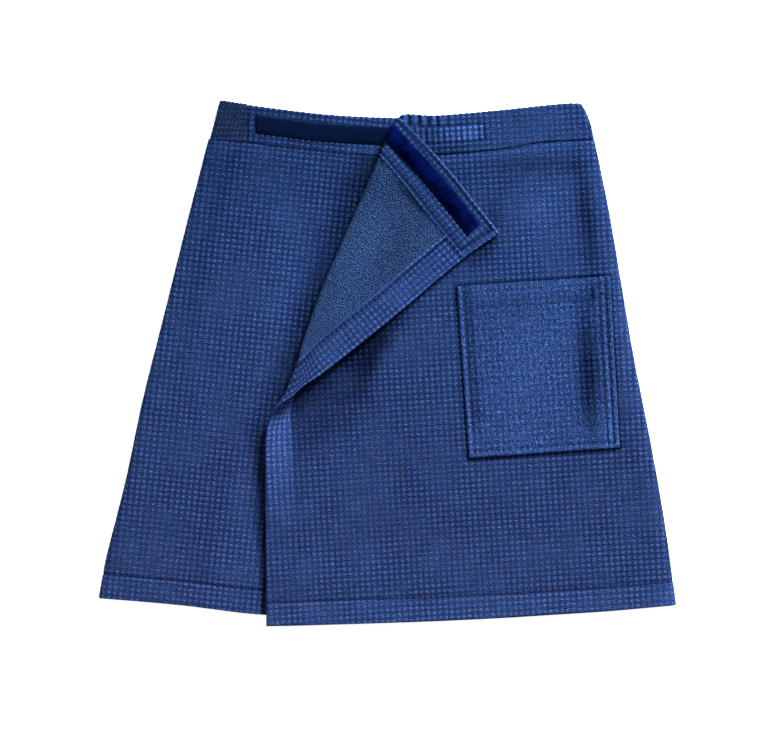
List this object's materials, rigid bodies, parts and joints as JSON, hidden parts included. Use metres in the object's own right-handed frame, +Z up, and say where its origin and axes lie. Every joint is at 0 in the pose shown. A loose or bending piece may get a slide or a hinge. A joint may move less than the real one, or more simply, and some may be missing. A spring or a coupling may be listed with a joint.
{
  "type": "wrap skirt",
  "caption": "Knee-length wrap skirt of waffle velour, laid flat, with a taped waistband, a patch pocket and one front corner folded back.",
  "frame": {"origin": "on the surface that the skirt lies on, under the middle of its bounding box", "axes": "+Z up from the surface, +Y towards the waistband, +X to the right as seen from above"},
  "size_m": [0.6268, 0.5683, 0.0268],
  "materials": {
    "waffle_velour": "dusty navy velour in a raised waffle weave, matt with a soft nap; the wrong side is a greyer knitted loop",
    "waistband": "the same waffle velour, doubled and topstitched",
    "hook_tape": "dark navy woven tape with short stiff hooks, dull",
    "loop_tape": "dark navy tape with dense soft loops"
  },
  "bodies": {
    "root": {"back_panel": "waffle_velour", "underlap_panel": "waffle_velour", "overlap_panel": "waffle_velour", "overlap_facing": "waffle_velour", "patch_pocket": "waffle_velour", "band_back": "waistband", "band_underlap": "waistband", "band_overlap": "waistband", "hook_tape": "hook_tape", "loop_tape": "loop_tape"}
  },
  "joints": []
}
